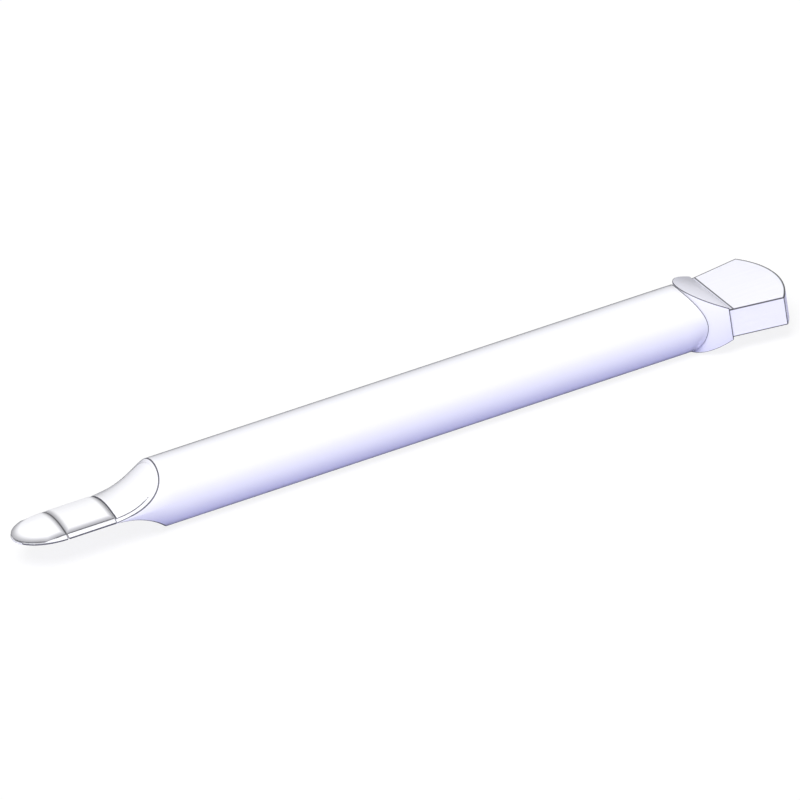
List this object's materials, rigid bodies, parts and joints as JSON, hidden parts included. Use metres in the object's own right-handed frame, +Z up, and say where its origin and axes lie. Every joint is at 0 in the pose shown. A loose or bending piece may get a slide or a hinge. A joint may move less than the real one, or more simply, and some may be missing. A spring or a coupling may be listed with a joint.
{
  "type": "lens cleaning pen",
  "caption": "Slim pen with a round barrel, a flexible padded wiping blade at the front and a flat flared dust brush that pulls out at the back.",
  "frame": {"origin": "under the middle of the pen's length, on the lowest line of the barrel", "axes": "+X along the barrel from the blade to the brush, +Z up through the blade's padded face, +Y across the blade to complete the right hand"},
  "size_m": [0.1196, 0.0162, 0.01],
  "materials": {
    "sleeve_gloss": "smooth white extruded tube with a soft gloss",
    "liner_plastic": "natural white tube, unpolished",
    "nose_gloss": "smooth white moulding with a soft gloss",
    "bush_plastic": "natural white moulding, unpolished",
    "spring_steel": "bright rolled spring steel",
    "blade_rubber": "white flexible elastomer, satin",
    "cushion_foam": "fine closed-cell foam",
    "pad_microfibre": "white split-fibre suede with a short even nap",
    "collar_satin": "white moulding with a fine satin surface",
    "ring_rubber": "black nitrile rubber",
    "root_resin": "clear-cast resin, matt with fibres in it",
    "bristle_nylon": "dense white fibres, trimmed to an arc"
  },
  "bodies": {
    "barrel": {"barrel_sleeve": "sleeve_gloss", "liner_tube": "liner_plastic", "rear_bush": "bush_plastic", "nose": "nose_gloss", "leaf_root": "spring_steel", "leaf_pins": "spring_steel"},
    "blade_middle": {"blade_middle": "blade_rubber", "leaf_middle": "spring_steel", "middle_cushion": "cushion_foam", "middle_pad": "pad_microfibre"},
    "blade_tip": {"blade_tip": "blade_rubber", "leaf_tip": "spring_steel", "tip_cushion": "cushion_foam", "tip_pad": "pad_microfibre"},
    "brush_head": {"brush_collar": "collar_satin", "collar_rings": "ring_rubber", "anchor_legs": "spring_steel", "bristle_anchor": "spring_steel", "bristle_root": "root_resin", "bristles": "bristle_nylon"}
  },
  "joints": [
    {"name": "middle_flex", "type": "hinge", "parent": "barrel", "child": "blade_middle", "pos_m": [-0.04587, 0, 0.00495], "axis": [0, 1, 0], "range_deg": [-12, 4], "stiffness_Nm_per_rad": 0.02},
    {"name": "tip_flex", "type": "hinge", "parent": "blade_middle", "child": "blade_tip", "pos_m": [-0.05329, 0, 0.00495], "axis": [0, 1, 0], "range_deg": [-12, 4], "stiffness_Nm_per_rad": 0.01},
    {"name": "brush_pull", "type": "slide", "parent": "barrel", "child": "brush_head", "axis": [1, 0, 0], "range_m": [0, 0.0135]}
  ]
}
